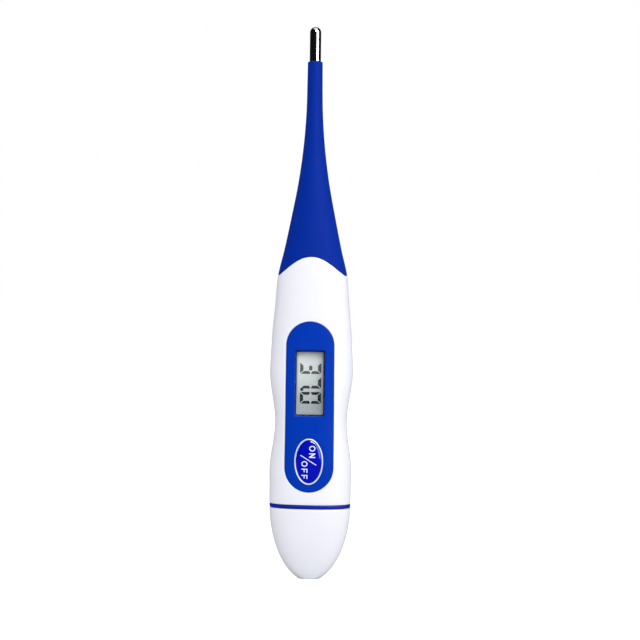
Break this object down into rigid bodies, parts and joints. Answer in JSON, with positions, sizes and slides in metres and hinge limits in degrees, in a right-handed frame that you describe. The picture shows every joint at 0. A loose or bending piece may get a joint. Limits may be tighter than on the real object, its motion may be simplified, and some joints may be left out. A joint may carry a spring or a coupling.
{
  "type": "digital thermometer",
  "caption": "Slim digital clinical thermometer with soft bending tip, metal sensor cap, small display, oval button and pull-off battery cap.",
  "frame": {"origin": "under the middle of the whole box, on the small flat at the end of the battery cap", "axes": "+Z from the battery cap up to the metal sensor cap, -Y out of the display, +X to the right of the display"},
  "size_m": [0.0192, 0.0117, 0.128],
  "materials": {
    "white_plastic": "satin",
    "seal_blue": "satin",
    "panel_blue": "gloss",
    "clear_lens": "gloss",
    "rim_silver": "polished",
    "button_blue": "gloss",
    "display_grey": "satin",
    "reflector_white": "satin",
    "rubber_black": "matte",
    "carrier_plastic": "matte",
    "board_green": "satin",
    "spring_steel": "satin",
    "epoxy_black": "satin",
    "ceramic_tan": "matte",
    "buzzer_brass": "satin",
    "cell_steel": "satin",
    "sleeve_blue": "satin",
    "lead_red": "satin",
    "sensor_metal": "polished"
  },
  "bodies": {
    "battery_cap": {"battery_cap": "white_plastic", "seal_ring": "seal_blue"},
    "housing": {"main_housing": "white_plastic", "display_panel": "panel_blue", "display_lens": "clear_lens", "button_ring": "rim_silver", "lcd_glass": "display_grey", "lcd_reflector": "reflector_white", "zebra_strip": "rubber_black", "circuit_carrier": "carrier_plastic", "circuit_board": "board_green", "battery_contact_positive": "spring_steel", "battery_contact_negative": "spring_steel", "controller_chip": "epoxy_black", "chip_resistor": "epoxy_black", "chip_capacitor": "ceramic_tan", "switch_dome": "spring_steel", "buzzer_disc": "buzzer_brass", "sleeve_root": "sleeve_blue", "sensor_lead_0": "lead_red"},
    "on_off_button": {"on_off_button": "button_blue"},
    "battery": {"battery": "cell_steel"},
    "tip_1": {"sleeve_link_1": "sleeve_blue", "sensor_lead_1": "lead_red"},
    "tip_2": {"sleeve_link_2": "sleeve_blue", "sensor_lead_2": "lead_red"},
    "tip_3": {"sleeve_link_3": "sleeve_blue", "sensor_lead_3": "lead_red"},
    "tip_4": {"sleeve_link_4": "sleeve_blue", "sensor_lead_4": "lead_red"},
    "tip_5": {"sleeve_link_5": "sleeve_blue", "sensor_lead_5": "lead_red"},
    "tip_6": {"sleeve_link_6": "sleeve_blue", "sensor_lead_6": "lead_red"},
    "tip_7": {"sleeve_link_7": "sleeve_blue", "sensor_lead_7": "lead_red"},
    "tip_8": {"sleeve_link_8": "sleeve_blue", "sensor_lead_8": "lead_red"},
    "tip_9": {"sleeve_link_9": "sleeve_blue", "sensor_lead_9": "lead_red"},
    "tip_10": {"sleeve_link_10": "sleeve_blue", "sensor_lead_10": "lead_red", "sensor_cap": "sensor_metal", "tip_potting": "epoxy_black", "thermistor": "epoxy_black"}
  },
  "joints": [
    {"name": "cap_pull", "type": "slide", "parent": "battery_cap", "child": "housing", "axis": [0, 0, 1], "range_m": [0, 0.016]},
    {"name": "on_off_press", "type": "slide", "parent": "housing", "child": "on_off_button", "axis": [0, 1, 0], "range_m": [0, 0.0006], "stiffness_N_per_m": 1500, "deforming": ["switch_dome"]},
    {"name": "battery_slide", "type": "slide", "parent": "housing", "child": "battery", "axis": [0, 0, -1], "range_m": [0, 0.008]},
    {"name": "bend_forward_1", "type": "hinge", "parent": "housing", "child": "tip_1", "pos_m": [0, 0, 0.0915], "axis": [1, 0, 0], "range_deg": [-9, 9], "stiffness_Nm_per_rad": 0.1},
    {"name": "bend_sideways_1", "type": "hinge", "parent": "tip_1", "child": "tip_2", "pos_m": [0, 0, 0.0948], "axis": [0, 1, 0], "range_deg": [-9, 9], "stiffness_Nm_per_rad": 0.1},
    {"name": "bend_forward_2", "type": "hinge", "parent": "tip_2", "child": "tip_3", "pos_m": [0, 0, 0.098], "axis": [1, 0, 0], "range_deg": [-9, 9], "stiffness_Nm_per_rad": 0.06},
    {"name": "bend_sideways_2", "type": "hinge", "parent": "tip_3", "child": "tip_4", "pos_m": [0, 0, 0.101], "axis": [0, 1, 0], "range_deg": [-9, 9], "stiffness_Nm_per_rad": 0.06},
    {"name": "bend_forward_3", "type": "hinge", "parent": "tip_4", "child": "tip_5", "pos_m": [0, 0, 0.104], "axis": [1, 0, 0], "range_deg": [-9, 9], "stiffness_Nm_per_rad": 0.04},
    {"name": "bend_sideways_3", "type": "hinge", "parent": "tip_5", "child": "tip_6", "pos_m": [0, 0, 0.1066], "axis": [0, 1, 0], "range_deg": [-9, 9], "stiffness_Nm_per_rad": 0.04},
    {"name": "bend_forward_4", "type": "hinge", "parent": "tip_6", "child": "tip_7", "pos_m": [0, 0, 0.109], "axis": [1, 0, 0], "range_deg": [-9, 9], "stiffness_Nm_per_rad": 0.03},
    {"name": "bend_sideways_4", "type": "hinge", "parent": "tip_7", "child": "tip_8", "pos_m": [0, 0, 0.1113], "axis": [0, 1, 0], "range_deg": [-9, 9], "stiffness_Nm_per_rad": 0.03},
    {"name": "bend_forward_5", "type": "hinge", "parent": "tip_8", "child": "tip_9", "pos_m": [0, 0, 0.1136], "axis": [1, 0, 0], "range_deg": [-9, 9], "stiffness_Nm_per_rad": 0.02},
    {"name": "bend_sideways_5", "type": "hinge", "parent": "tip_9", "child": "tip_10", "pos_m": [0, 0, 0.1158], "axis": [0, 1, 0], "range_deg": [-9, 9], "stiffness_Nm_per_rad": 0.02}
  ]
}
